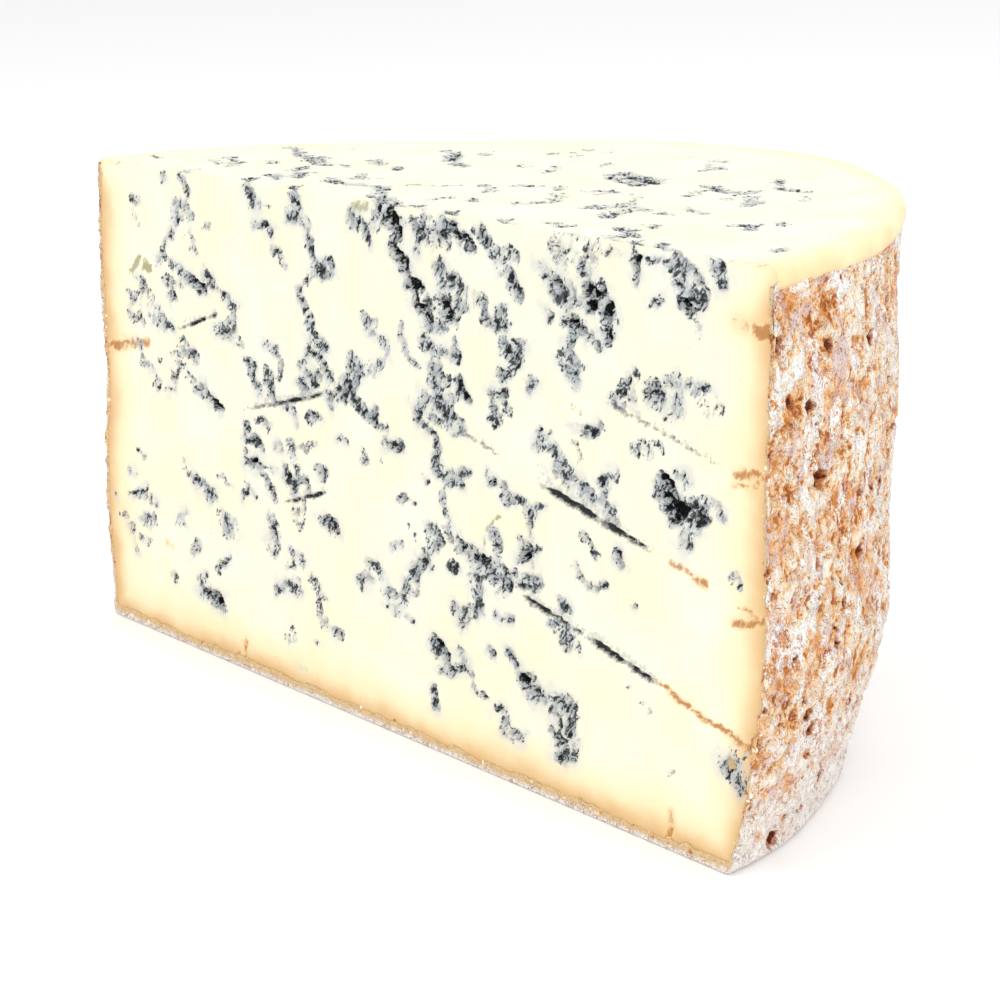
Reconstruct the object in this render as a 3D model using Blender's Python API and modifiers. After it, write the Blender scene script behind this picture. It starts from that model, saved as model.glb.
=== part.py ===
"""Half wheel of blue-veined cheese, cut upright through its middle and level across its top.

The wheel is turned from its side profile, shaped by hand-made unevenness, and then cut.
Units are metres, +Z is up. The upright cut face looks along -Y and the rind wraps round the
back. The origin is at the middle of the base of the bounding box.
"""
import math

import bmesh
import bpy
from mathutils import Vector

# Driving dimensions.
RADIUS = 0.100            # wheel radius at the upper edge
HEIGHT = 0.112            # from the base to the level cut across the top
EDGE_ROUND = 0.0012       # rounding of the upper edge and of the base edge
TAPER_HEIGHT = 0.036      # the side starts to turn in towards the base at this height
TAPER_DEPTH = 0.0077      # how far it has turned in at the base
TAPER_POWER = 1.4         # 1 is a straight taper, more is rounder
LEAN = 0.0100             # how far the base end of the -X side stands out past the top
BACK_LEAN = -0.0012       # the same for the rest of the side
OUTLINE_BUMP = 0.0035     # bulge of the outline near the back
OUTLINE_DIP = 0.0030      # flattened stretch of the outline behind the -X corner
TOP_DIP = 0.0018          # the top sinks by this much above that stretch
SIDE_BULGE = 0.0015       # swelling low on the -X side
SIDE_WAIST = 0.0013       # shallow dent half way up the -X side
RIPPLE = 0.0006           # general unevenness of the rind

SIDE_RINGS = 20           # rings of faces up the side
EDGE_RINGS = 3            # rings round the upper edge, and round the base edge
TOP_RINGS = 5             # rings across the top
TURN_STEPS = 128          # faces round the whole wheel
MERGE = 0.00001

# Mould hollows that open on the cut face: X, Z and depth of the centre, then the half sizes
# along X, Y and Z and the turn about Y in degrees.
HOLLOWS = {
    "edge_hollow": (0.0035, 0.1085, 0.0000, 0.0032, 0.0060, 0.0060, -20.0),
    "upper_eye": (0.0560, 0.0985, -0.0010, 0.0078, 0.0032, 0.0050, 8.0),
    "lower_eye": (0.0475, 0.0150, 0.0000, 0.0030, 0.0030, 0.0058, -12.0),
    "corner_eye": (0.0900, 0.0205, 0.0000, 0.0022, 0.0028, 0.0028, 0.0),
    "left_eye": (-0.0690, 0.0155, 0.0005, 0.0042, 0.0022, 0.0020, 15.0),
}

PASTE_COLOUR = (0.93, 0.86, 0.66, 1.0)


def clear_scene():
    for old in list(bpy.data.objects):
        bpy.data.objects.remove(old, do_unlink=True)


def collection(name):
    made = bpy.data.collections.new(name)
    bpy.context.scene.collection.children.link(made)
    return made


def material(name, colour, roughness):
    made = bpy.data.materials.new(name)
    made.use_nodes = True
    shader = made.node_tree.nodes["Principled BSDF"]
    shader.inputs["Base Color"].default_value = colour
    shader.inputs["Roughness"].default_value = roughness
    shader.inputs["Metallic"].default_value = 0.0
    return made


def bell(value, centre, width):
    return math.exp(-((value - centre) / width) ** 2)


def smooth_step(value, low, high):
    t = min(max((value - low) / (high - low), 0.0), 1.0)
    return t * t * (3.0 - 2.0 * t)


def side_offset(angle, height):
    """How far the rind stands out past RADIUS, at a turn in degrees from +X and a height."""
    left = smooth_step(angle, 95.0, 175.0)
    fall = 1.0 - min(height / HEIGHT, 1.0)
    lean = LEAN * left * fall ** 0.7 + BACK_LEAN * (1.0 - left) * fall
    low = max(1.0 - height / TAPER_HEIGHT, 0.0)
    taper = TAPER_DEPTH * (1.0 - 0.85 * left) * low ** TAPER_POWER
    outline = OUTLINE_BUMP * bell(angle, 74.0, 20.0) - OUTLINE_DIP * bell(angle, 132.0, 24.0)
    swell = SIDE_BULGE * bell(height, 0.028, 0.018) - SIDE_WAIST * bell(height, 0.058, 0.010)
    turn = math.radians(angle)
    ripple = RIPPLE * math.sin(9.0 * turn + 60.0 * height) * math.sin(5.0 * turn - 85.0 * height + 1.0)
    return lean - taper + outline + swell * left + ripple


def profile_points():
    """The side profile from the middle of the top, over the edge and down to the base."""
    points = [(0.0, HEIGHT)]
    inner = RADIUS - EDGE_ROUND
    for ring in range(1, TOP_RINGS + 1):
        points.append((inner * ring / TOP_RINGS, HEIGHT))
    for ring in range(1, EDGE_RINGS + 1):
        turn = 0.5 * math.pi * ring / EDGE_RINGS
        points.append((inner + EDGE_ROUND * math.sin(turn),
                       HEIGHT - EDGE_ROUND * (1.0 - math.cos(turn))))
    side_top = HEIGHT - EDGE_ROUND
    for ring in range(1, SIDE_RINGS + 1):
        points.append((RADIUS, side_top + (EDGE_ROUND - side_top) * ring / SIDE_RINGS))
    for ring in range(1, EDGE_RINGS + 1):
        turn = 0.5 * math.pi * ring / EDGE_RINGS
        points.append((inner + EDGE_ROUND * math.cos(turn), EDGE_ROUND * (1.0 - math.sin(turn))))
    points.append((0.0, 0.0))
    return points


def turned_wheel():
    """The whole wheel, round and even, as one closed mesh."""
    profile = bpy.data.meshes.new("wheel_profile")
    points = profile_points()
    edges = [(i, i + 1) for i in range(len(points) - 1)]
    profile.from_pydata([(r, 0.0, z) for r, z in points], edges, [])
    guide = bpy.data.objects.new("wheel_profile", profile)
    bpy.context.scene.collection.objects.link(guide)
    screw = guide.modifiers.new("Turn", "SCREW")
    screw.angle = math.tau
    screw.steps = TURN_STEPS
    screw.render_steps = TURN_STEPS
    screw.use_merge_vertices = True
    screw.merge_threshold = MERGE
    graph = bpy.context.evaluated_depsgraph_get()
    wheel = bpy.data.meshes.new_from_object(guide.evaluated_get(graph))
    bpy.data.objects.remove(guide, do_unlink=True)
    return wheel


def shape_by_hand(wheel):
    """Move the turned wheel's points to the leaning, tapered and uneven form."""
    for point in wheel.vertices:
        reach = math.hypot(point.co.x, point.co.y)
        if reach < MERGE:
            continue
        # The half behind the cut runs from 0 to 180 degrees; the other half mirrors it.
        angle = math.degrees(math.atan2(abs(point.co.y), point.co.x))
        height = point.co.z
        stretch = 1.0 + side_offset(angle, height) / RADIUS
        point.co.x *= stretch
        point.co.y *= stretch
        sink = TOP_DIP * bell(angle, 132.0, 30.0) * (reach / RADIUS) ** 2
        point.co.z -= sink * (height / HEIGHT) ** 4


def cutter(name, mesh, home):
    made = bpy.data.objects.new(name, mesh)
    made.hide_render = True
    made.display_type = "WIRE"
    home.objects.link(made)
    return made


def front_cutter(home):
    """A block over everything in front of the upright cut."""
    size = 4.0 * RADIUS
    mesh = bpy.data.meshes.new("front_cut")
    block = bmesh.new()
    bmesh.ops.create_cube(block, size=size)
    bmesh.ops.translate(block, verts=block.verts, vec=(0.0, -0.5 * size, 0.0))
    block.to_mesh(mesh)
    block.free()
    return cutter("front_cut", mesh, home)


def hollow_cutter(name, sizes, home):
    """A squashed ball that leaves one mould hollow in the cut face."""
    x, z, depth, half_x, half_y, half_z, turn = sizes
    mesh = bpy.data.meshes.new(name)
    ball = bmesh.new()
    bmesh.ops.create_icosphere(ball, subdivisions=3, radius=1.0)
    for point in ball.verts:
        lump = 1.0 + 0.12 * math.sin(5.0 * point.co.x + 3.0 * point.co.z) * math.cos(4.0 * point.co.z)
        point.co = Vector((point.co.x * half_x, point.co.y * half_y, point.co.z * half_z)) * lump
    ball.to_mesh(mesh)
    ball.free()
    made = cutter(name, mesh, home)
    made.location = (x, depth, z)
    made.rotation_euler = (0.0, math.radians(turn), 0.0)
    return made


def cut_away(target, tool):
    cut = target.modifiers.new(tool.name, "BOOLEAN")
    cut.operation = "DIFFERENCE"
    cut.solver = "EXACT"
    cut.object = tool


def centre_on_base(body, tools):
    """Put the origin at the middle of the base of the cut piece's bounding box."""
    graph = bpy.context.evaluated_depsgraph_get()
    corners = [Vector(corner) for corner in body.evaluated_get(graph).bound_box]
    low = Vector([min(corner[axis] for corner in corners) for axis in range(3)])
    high = Vector([max(corner[axis] for corner in corners) for axis in range(3)])
    middle = 0.5 * (low + high)
    for thing in [body] + tools:
        thing.location -= Vector((middle.x, middle.y, low.z))


def main():
    clear_scene()
    pieces = collection("blue_cheese_half_wheel")
    tools_home = collection("cutters")

    wheel = turned_wheel()
    shape_by_hand(wheel)
    wheel.name = "cheese_half_wheel"
    wheel.materials.clear()
    wheel.materials.append(material("cheese", PASTE_COLOUR, 0.6))
    wheel.shade_smooth()
    wheel.set_sharp_from_angle(angle=math.radians(35.0))
    body = bpy.data.objects.new("cheese_half_wheel", wheel)
    pieces.objects.link(body)

    tools = [front_cutter(tools_home)]
    for name, sizes in HOLLOWS.items():
        tools.append(hollow_cutter(name, sizes, tools_home))
    for tool in tools:
        cut_away(body, tool)
    bpy.context.view_layer.update()
    centre_on_base(body, tools)


main()
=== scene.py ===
"""Looks of the blue cheese half wheel: pale paste with mould veins, and a dry mottled rind."""
import math

import bmesh
import bpy
import numpy as np
from mathutils import Matrix, Vector


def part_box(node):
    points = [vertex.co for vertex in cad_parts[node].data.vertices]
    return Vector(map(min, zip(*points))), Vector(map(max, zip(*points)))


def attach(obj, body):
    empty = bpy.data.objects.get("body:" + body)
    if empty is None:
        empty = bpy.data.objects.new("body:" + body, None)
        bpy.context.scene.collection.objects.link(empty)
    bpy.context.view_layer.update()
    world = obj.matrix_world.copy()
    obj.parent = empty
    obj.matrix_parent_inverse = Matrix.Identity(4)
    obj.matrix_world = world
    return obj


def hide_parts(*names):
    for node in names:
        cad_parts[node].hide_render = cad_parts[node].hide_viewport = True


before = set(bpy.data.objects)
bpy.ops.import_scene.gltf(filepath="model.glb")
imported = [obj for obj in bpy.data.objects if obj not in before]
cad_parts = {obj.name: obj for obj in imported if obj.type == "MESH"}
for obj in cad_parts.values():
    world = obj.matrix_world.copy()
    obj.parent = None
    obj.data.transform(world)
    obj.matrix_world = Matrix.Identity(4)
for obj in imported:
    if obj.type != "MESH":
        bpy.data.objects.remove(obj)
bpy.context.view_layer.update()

NODE = "cheese_half_wheel"
LOW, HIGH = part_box(NODE)
MM = 0.001

# Shape of the wheel in millimetres, as the CAD solid has it: the origin is on the wheel's axis,
# at the foot of the upright cut, which looks along -Y.
HEIGHT = (HIGH.z - LOW.z) / MM
RADIUS = 100.0
EDGE_ROUND = 1.2
TAPER_HEIGHT = 36.0
TAPER_DEPTH = 7.7
TAPER_POWER = 1.4
LEAN = 10.0
BACK_LEAN = -1.2
OUTLINE_BUMP = 3.5
OUTLINE_DIP = 3.0
TOP_DIP = 1.8
SIDE_BULGE = 1.5
SIDE_WAIST = 1.3
RIPPLE = 0.6

# How far the fine surface lies inside the CAD solid, in millimetres.
CUT_INSET = 0.35
RIM_ROUND = 2.2           # rounding of the bare rim between the level cut and the side
RIM_HEIGHT = 2.4          # bare paste between the level cut and the start of the rind
RIND_SIDE = 1.6           # width of the rind where the upright cut shows it, at the side
RIND_BASE = 2.0           # the same along the base
PASTE_BACK = 4.5          # how deep the paste lies under the rind, away from the cuts

MERGE_GAP = 1e-7          # metres: points closer than this are one point
SHARP_ANGLE = 60.0        # degrees: an edge that turns more than this is shaded sharp


# ---------------------------------------------------------------- shape and noise

def bell(value, centre, width):
    return np.exp(-((value - centre) / width) ** 2)


def smooth(value, low, high):
    t = np.clip((value - low) / (high - low), 0.0, 1.0)
    return t * t * (3.0 - 2.0 * t)


def outer_radius(turn, height):
    """Distance from the axis to the rind, at a turn in radians from +X and a height."""
    angle = np.degrees(turn)
    left = smooth(angle, 95.0, 175.0)
    fall = 1.0 - np.clip(height / HEIGHT, 0.0, 1.0)
    lean = LEAN * left * fall ** 0.7 + BACK_LEAN * (1.0 - left) * fall
    low = np.maximum(1.0 - height / TAPER_HEIGHT, 0.0)
    taper = TAPER_DEPTH * (1.0 - 0.85 * left) * low ** TAPER_POWER
    outline = OUTLINE_BUMP * bell(angle, 74.0, 20.0) - OUTLINE_DIP * bell(angle, 132.0, 24.0)
    swell = SIDE_BULGE * bell(height, 28.0, 18.0) - SIDE_WAIST * bell(height, 58.0, 10.0)
    ripple = RIPPLE * np.sin(9.0 * turn + 0.060 * height) * np.sin(5.0 * turn - 0.085 * height + 1.0)
    return RADIUS + lean - taper + outline + swell * left + ripple


def top_sink(turn, reach):
    return TOP_DIP * bell(np.degrees(turn), 132.0, 30.0) * (reach / RADIUS) ** 2


def lattice(cell, seed):
    """A fixed pseudo-random number from 0 to 1 for each whole-number cell."""
    c = cell.astype(np.int64)
    h = (c[..., 0] * 73856093) ^ (c[..., 1] * 19349663) ^ (c[..., 2] * 83492791) ^ (seed * 2654435761)
    h &= 0xFFFFFFFF
    h ^= h >> 16
    h = (h * 0x45D9F3B) & 0xFFFFFFFF
    h ^= h >> 15
    h = (h * 0x45D9F3B) & 0xFFFFFFFF
    h ^= h >> 16
    return h / 4294967295.0


def noise(points, size, seed):
    """Smooth noise from 0 to 1 with lumps about one size across."""
    p = points / size
    cell = np.floor(p)
    f = p - cell
    f = f * f * (3.0 - 2.0 * f)
    total = np.zeros(len(points))
    for corner in range(8):
        step = np.array([corner & 1, corner >> 1 & 1, corner >> 2 & 1])
        weight = np.prod(np.where(step == 1, f, 1.0 - f), axis=1)
        total += weight * lattice(cell + step, seed)
    return total


def fractal(points, size, seed, octaves=3, fade=0.5):
    total = np.zeros(len(points))
    share = 1.0
    whole = 0.0
    for octave in range(octaves):
        total += share * noise(points, size * 0.5 ** octave, seed + octave)
        whole += share
        share *= fade
    return total / whole


# ---------------------------------------------------------------- mould veins

# Each vein is its darkness (0 to 1), its half width, and its points, in millimetres: X and Z on
# the upright cut. Above DEEP a vein is an open crevice, coloured near black: dark mould together
# with painted shade in the hollow.
DEEP = 0.92
FRONT_VEINS = [
    # upper left
    (0.6, 1.0, (-88, 104), (-85.5, 103.5)), (0.5, 1.0, (-88.5, 101), (-87, 98)),
    (0.7, 1.2, (-68, 110), (-66, 107.5)), (0.55, 2.0, (-70, 104.5), (-66, 103)),
    (0.65, 1.2, (-71, 102), (-72.5, 98.5), (-75, 95.5), (-77, 92.5), (-79, 90.5)),
    (0.6, 0.9, (-75.5, 109), (-74, 109)), (0.6, 1.1, (-65.5, 98), (-66, 95.5), (-65, 94.5)),
    (0.45, 0.8, (-62, 100.3), (-59, 101)), (0.6, 1.2, (-88, 86), (-86, 85)),
    (0.55, 1.3, (-87, 85), (-88.5, 81.5), (-92, 79.5), (-92.5, 76), (-88, 76.5)),
    (0.4, 2.8, (-86, 83), (-80, 79.5)), (0.5, 0.9, (-92, 82), (-88, 82)),
    (0.75, 1.4, (-81, 79.5), (-79, 78), (-77, 76)), (0.75, 1.3, (-83, 77), (-79, 75.7), (-76, 76)),
    (0.95, 1.1, (-70, 89), (-66, 87.3), (-62, 86)), (0.5, 1.2, (-74, 90.5), (-70, 89)),
    (0.5, 1.1, (-78, 86.5), (-75, 87), (-70, 86.3)),
    (0.7, 1.1, (-75, 85.5), (-74, 83), (-75.5, 82.5)),
    (0.7, 1.3, (-61, 90), (-58, 87.5), (-54, 85.5), (-52, 83)), (0.7, 1.2, (-52, 84.5), (-50, 85)),
    (0.65, 1.5, (-58, 77.5), (-55, 78.5), (-53, 77.5), (-52.5, 79.5)),
    (0.5, 0.9, (-53, 80), (-50, 76)), (0.8, 1.2, (-69.5, 71), (-68, 71.3)),
    (0.5, 0.7, (-75.5, 70.3), (-71.5, 71.2)), (0.35, 1.8, (-74, 74), (-70, 73)),
    (0.5, 1.2, (-90, 69.5), (-89, 66.5), (-85.5, 65.5), (-83, 62.5), (-84, 60.3)),
    (0.6, 1.2, (-80, 60.8), (-76.5, 61.5), (-76, 64.5)), (0.4, 0.8, (-81.5, 67.5), (-80.5, 67.5)),
    (0.6, 1.1, (-74, 67.5), (-71.5, 68), (-70, 66), (-69, 64.5)),
    (0.95, 0.9, (-68, 63), (-65, 64.2), (-62, 62.3), (-59, 60.2)),
    (0.8, 0.9, (-67, 62), (-63, 61), (-60, 60.3)),
    # lower left
    (0.5, 0.9, (-93.5, 43), (-91, 44)), (0.6, 0.9, (-98.5, 38), (-95, 38.5)),
    (0.6, 1.1, (-98.5, 31.8), (-96, 32.3), (-92, 33.5), (-91, 36)),
    (0.6, 1.1, (-90, 33), (-87, 32.5)), (0.55, 1.1, (-95, 26.5), (-92, 28), (-89.5, 28.5)),
    (0.4, 0.9, (-92, 26), (-88, 26.5)), (0.5, 1.0, (-99, 24), (-98, 20.5)),
    (0.5, 0.9, (-95, 21.5), (-91, 22)), (0.5, 1.0, (-97.3, 18.5), (-96.8, 18)),
    (0.4, 0.9, (-104.5, 31), (-104, 29.5)), (0.4, 1.0, (-103, 26), (-101, 26)),
    (0.6, 1.0, (-80, 29.5), (-77.5, 31), (-75, 32.5)), (0.6, 0.9, (-79, 30), (-75.5, 28.5)),
    (0.5, 1.2, (-75.5, 21.5), (-74, 23.5), (-71.5, 25.5)),
    (0.7, 0.9, (-65, 20.5), (-62.5, 23.5), (-59, 24.7)),
    (0.97, 1.7, (-71, 15), (-68.5, 15.5), (-66.5, 14), (-64.5, 13.5)),
    (0.6, 1.2, (-72.5, 16.5), (-69.5, 18)), (0.4, 1.4, (-83, 15.5), (-81.5, 14.5)),
    (0.3, 1.1, (-79.3, 13), (-78.7, 12.6)), (0.9, 1.5, (-71.5, 41.5), (-68, 40.5), (-65, 39)),
    (0.35, 1.4, (-75.5, 42.5), (-72.5, 43)),
    (0.65, 1.7, (-60, 35), (-57, 34), (-57, 32), (-60, 31.5)),
    (0.5, 0.8, (-62, 44), (-59, 43.3), (-56, 43)),
    # left of the middle
    (0.9, 1.3, (-44.5, 109.5), (-43, 107.5), (-41, 107)), (0.5, 0.9, (-40, 107.5), (-37, 107.5)),
    (0.9, 1.0, (-42, 103.3), (-39.5, 103), (-37, 102.3)),
    (0.5, 1.1, (-36.5, 98.5), (-33.5, 97), (-32, 96)),
    (0.8, 1.3, (-28, 110), (-27, 107), (-25, 104), (-24, 101.5), (-22.5, 98.5), (-22.5, 96)),
    (0.8, 1.1, (-31, 105.5), (-28, 105.5)),
    (0.85, 1.2, (-20, 97.5), (-17.5, 97), (-18.5, 96), (-22, 95.5)),
    (0.5, 0.6, (-22, 95), (-25, 92.5), (-28, 90.3)),
    (0.8, 1.0, (-28, 90), (-27, 87.5), (-24.5, 85.3)),
    (0.8, 1.2, (-26.5, 84), (-25, 83), (-24.5, 81), (-22.5, 79.5), (-20.5, 80)),
    (0.7, 1.4, (-26, 77.5), (-28.5, 74.5), (-27, 72.5), (-24.5, 73.5)),
    (0.7, 1.3, (-24, 77), (-21.5, 77), (-21, 74), (-19.5, 73.5)),
    (0.8, 1.2, (-30.5, 71), (-28, 70), (-24, 70.8)), (0.96, 1.3, (-20.5, 70), (-19.5, 68.3)),
    (0.7, 1.0, (-41, 78), (-37.5, 77)), (0.5, 1.0, (-37, 75), (-36.5, 73), (-37.5, 70.5)),
    (0.85, 1.1, (-47.5, 72.5), (-45.5, 70.5), (-44.5, 66.5)),
    (0.8, 1.1, (-41, 70.5), (-40.5, 67.5), (-39, 66.5)),
    (0.85, 1.3, (-35, 64.8), (-33, 64), (-32, 63)), (0.7, 1.1, (-27, 64), (-24, 64.2)),
    (0.6, 0.8, (-18, 60.3), (-15.5, 60.8), (-14.5, 60.4)), (0.7, 0.8, (-49.5, 59), (-49, 57.5)),
    (0.85, 1.1, (-50, 54.5), (-47, 55.3), (-45, 54)), (0.5, 1.1, (-46, 60), (-41, 59)),
    (0.9, 0.9, (-39, 55.3), (-36.5, 54.8)), (0.97, 1.5, (-50, 50), (-48, 49.5), (-45.5, 50)),
    (0.7, 1.0, (-45, 50.5), (-41, 49.7)), (0.6, 1.1, (-45, 47.5), (-43, 45.5), (-40.5, 43)),
    (0.45, 1.7, (-34, 57), (-33, 53), (-32, 51)), (0.5, 1.0, (-30, 57), (-27, 58), (-25.5, 58)),
    (0.8, 1.1, (-25, 52), (-23.5, 51.5), (-22.5, 52.5)),
    (0.6, 1.4, (-37, 50), (-34, 47.5), (-31, 49), (-29, 47.5)),
    (0.5, 1.2, (-34, 40.5), (-31.5, 42.5), (-31, 44.5)),
    (0.4, 0.9, (-35, 38.7), (-31, 39), (-33, 37.8)),
    (0.8, 1.1, (-25, 41), (-22, 41.5), (-20, 42), (-19, 40.7)),
    (0.75, 1.0, (-50.5, 44), (-49, 43.5), (-48, 43)), (0.6, 0.9, (-53, 40.5), (-51, 43)),
    (0.7, 1.4, (-43, 38), (-42.5, 35), (-44.5, 33.5), (-41, 33.5)),
    (0.6, 1.2, (-44, 31), (-42, 30.5), (-40.5, 32)), (0.8, 1.0, (-35.5, 31.5), (-32, 30.8)),
    (0.6, 1.1, (-38, 28.3), (-35.5, 28.8)),
    (0.8, 1.1, (-42, 20.8), (-41, 22.5), (-38, 23.8), (-33, 23.7)),
    (0.5, 0.9, (-34.3, 25.8), (-33.7, 25.2)),
    (0.5, 1.4, (-28.5, 27.5), (-27, 26.5), (-25.5, 24.5), (-27, 21.3)),
    (0.6, 1.2, (-26, 18.8), (-24, 17.3), (-21, 16.8)),
    (0.4, 1.5, (-37.5, 15), (-37, 12), (-39, 11.5)), (0.4, 1.0, (-29, 12.3), (-27.5, 13)),
    (0.4, 0.9, (-36, 5.2), (-33, 5.4)),
    # middle, from the top down
    (0.9, 1.2, (-10, 108), (-9, 106.5), (-7, 107)), (0.6, 2.2, (-7, 106), (-4, 107), (-1, 108.5)),
    (0.8, 1.0, (-6, 105), (-4.5, 103)), (1.0, 2.0, (0, 111), (2, 110), (4, 107.5), (3.5, 105.5)),
    (1.0, 1.1, (3.3, 105), (2.5, 103), (5, 101), (6, 99.5)),
    (1.0, 1.8, (6, 99.5), (7.5, 97.5), (9.5, 96.5)),
    (0.97, 1.1, (9, 95), (8.5, 93), (10.5, 91.5), (13.5, 90.5)), (0.8, 1.1, (13, 94), (13, 91.5)),
    (0.9, 1.1, (8.5, 109), (10, 107.5), (9.5, 105), (9.3, 102.5)),
    (0.7, 1.8, (11, 108), (14, 108), (18, 107.5)), (0.6, 1.5, (11.5, 106), (15, 105.5)),
    (0.92, 1.2, (18, 109.5), (21, 108.5), (23, 107.5), (25.5, 105.7)),
    (0.8, 1.3, (16.5, 101.5), (17, 98), (16.5, 96)), (0.8, 1.5, (19.5, 100), (22, 97), (22, 95)),
    (0.93, 1.4, (16.5, 95), (17, 93), (18, 92)), (0.4, 1.6, (21, 93), (20.5, 91)),
    (0.7, 1.2, (12, 89), (17, 89)),
    (0.8, 1.2, (-7, 87), (-5.5, 85.5), (-3, 84), (-1.5, 83.3), (0, 82)),
    (0.6, 0.9, (-5, 87.5), (-3, 87.5)), (0.75, 1.1, (4, 88), (4.5, 84.5), (7, 81.8), (9, 80.5)),
    (0.6, 1.6, (11, 87), (12.5, 84.5), (14, 82.5)),
    (0.85, 1.2, (15, 84), (17, 84.7), (20, 84), (20, 86.5)),
    (0.8, 1.5, (12, 80), (13.5, 77.5), (14.5, 75.5)), (0.6, 1.5, (15, 80), (17, 78.5), (18.5, 76)),
    (0.93, 0.9, (20.5, 79), (21.5, 77.5), (23, 76.5)),
    (0.85, 1.9, (8, 71.3), (10, 73), (12, 74), (14.5, 73), (17, 72.5), (19.5, 70.5)),
    (0.6, 1.6, (11, 71), (19, 70.3)), (0.8, 1.1, (-11, 79), (-12.5, 77), (-10, 75), (-11, 72.5)),
    (0.7, 1.5, (-10, 77), (-7, 76.5), (-5, 78)),
    (0.85, 1.4, (-16, 70.5), (-13.5, 73), (-12, 71), (-10, 70)),
    (0.85, 0.9, (-10, 68.7), (-7, 68), (-5, 67.7)), (0.6, 0.8, (-6, 66.6), (-2, 66)),
    (0.6, 0.9, (-4, 79.3), (-1, 80)), (0.8, 1.0, (8, 68.7), (10.5, 68.5), (12.5, 66.8), (13.7, 65)),
    (0.85, 1.3, (-1.5, 62.5), (0.5, 62.3), (2.5, 62.7)),
    (0.9, 1.2, (13.3, 62), (14, 60), (17, 60), (19.5, 61), (21.5, 61.8)),
    (0.85, 1.1, (15, 59), (19, 59), (20.5, 60)),
    (0.7, 1.0, (15.5, 57), (15, 54), (15.3, 51), (16, 49.5)),
    (0.6, 1.0, (-9.5, 59.5), (-8.5, 58), (-9.5, 57)), (0.4, 0.8, (-4, 58.7), (-3, 58.9)),
    (0.6, 0.8, (9.5, 58), (10.3, 57.6)), (0.7, 0.6, (1, 51.8), (3.5, 52.8), (7, 52.3)),
    (0.85, 1.1, (10, 48), (12, 48.5), (13.5, 46), (11, 43.7), (9, 41.5)),
    (0.7, 1.1, (15, 49), (16.5, 47.5)), (0.85, 1.2, (9.5, 40.3), (8, 41), (6.5, 39.5), (4.5, 38)),
    (0.8, 1.0, (4, 36.8), (6, 36.2)), (0.85, 1.0, (-1, 41.3), (1.5, 42)),
    (0.8, 1.0, (16.5, 40), (18.5, 41), (17, 41.8)), (0.4, 0.8, (4, 47), (5.5, 44.5)),
    (0.8, 1.1, (-12.5, 31), (-10.5, 31.3), (-9, 32.7)),
    (0.7, 1.2, (-9, 35), (-6.5, 35.5), (-5, 33.5)), (0.75, 1.3, (-4, 30.5), (-1.5, 30.5)),
    (0.8, 1.3, (0, 29), (1.5, 31), (2.5, 33.5)), (0.8, 1.0, (2, 31), (5, 32.3)),
    (0.8, 1.2, (-4, 28), (-1.5, 27.5)), (0.7, 0.8, (2, 26.6), (4, 26.5)),
    (0.92, 1.3, (11, 24), (11.5, 22), (13.5, 22.5), (14, 20.5)),
    (0.9, 1.0, (12.5, 18.3), (16, 18.7), (18, 19.8), (20.5, 20)),
    (0.88, 1.2, (18, 23), (19.5, 21.5), (18, 20.5)),
    (0.6, 0.9, (22, 17.7), (22, 16.5), (24, 15.8), (26.5, 15.2)),
    (0.7, 1.5, (30, 14.5), (31.5, 12.5), (31, 10.8)), (0.85, 1.1, (10, 12.5), (10.2, 10)),
    (0.8, 0.8, (33, 9.3), (37, 10.3)),
    # right of the middle
    (0.97, 1.0, (19, 46.5), (22, 45.7), (24, 45), (27, 45.2)),
    (0.7, 2.3, (24, 43), (29, 42.8), (33, 42)), (0.8, 1.6, (24, 41), (25.5, 38.3), (24, 37)),
    (0.7, 1.2, (29, 49.5), (31, 50), (30, 48.5)), (0.8, 1.1, (24.5, 34.5), (22, 33), (20, 32)),
    (0.8, 1.2, (17, 33.5), (18.5, 31.8), (19.5, 30)),
    (0.7, 1.1, (33, 43), (38, 43.7), (42, 44.5), (40, 42.5), (36, 41.6)),
    (0.96, 0.6, (27.5, 25.5), (28.1, 25.5)), (0.8, 1.1, (33, 27.5), (35.5, 25.8)),
    (0.88, 1.0, (30.5, 33.7), (33.5, 34.5)), (0.8, 1.2, (26, 109), (29, 108.5), (30, 107.8)),
    (0.8, 1.5, (31, 106), (34, 105), (36.5, 106)), (0.75, 1.4, (33, 104), (36, 102), (37.5, 99.5)),
    (0.6, 1.5, (25.5, 97), (27.5, 95.5), (28.5, 92)),
    (0.9, 1.0, (31, 92.5), (33, 92), (35.5, 92.5)), (0.9, 0.9, (32, 94), (34.5, 94.3)),
    (0.85, 1.5, (34, 88.5), (36, 86.5), (37.5, 86), (38.5, 88), (39, 90)),
    (0.8, 0.8, (32, 82.5), (34, 83), (36, 84)), (0.88, 1.1, (40.5, 81), (42, 82)),
    (0.93, 1.0, (30.5, 79), (33, 79.3)), (0.6, 1.2, (30, 77), (30.5, 74), (29.5, 73)),
    (0.5, 1.0, (32, 78), (36, 76.5)), (0.93, 1.2, (29, 62), (31, 61.5), (32.5, 61)),
    (0.88, 1.0, (32.5, 58.5), (37.5, 59)), (0.8, 0.7, (41, 57.7), (43.5, 59)),
    (0.55, 1.5, (39.5, 57), (40.5, 54), (39, 50)),
    (0.96, 0.9, (36.5, 46.8), (38, 48.2), (39.5, 47)), (0.7, 1.0, (38, 50.3), (41, 50)),
    (0.93, 1.2, (37.5, 23), (39.5, 22.7), (41, 21.5)),
    (0.85, 1.9, (40, 20.3), (44, 20.6), (46, 20.2), (49.5, 20.3)),
    (1.0, 1.6, (45, 17.8), (46.5, 16.5), (46, 14), (48, 12)),
    (0.8, 1.7, (49, 17), (50, 14), (49.5, 11), (47, 10)),
    (0.9, 1.2, (42.5, 71), (45, 71.5), (47, 70.5)), (0.8, 0.8, (43, 72.5), (45.5, 73)),
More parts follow.
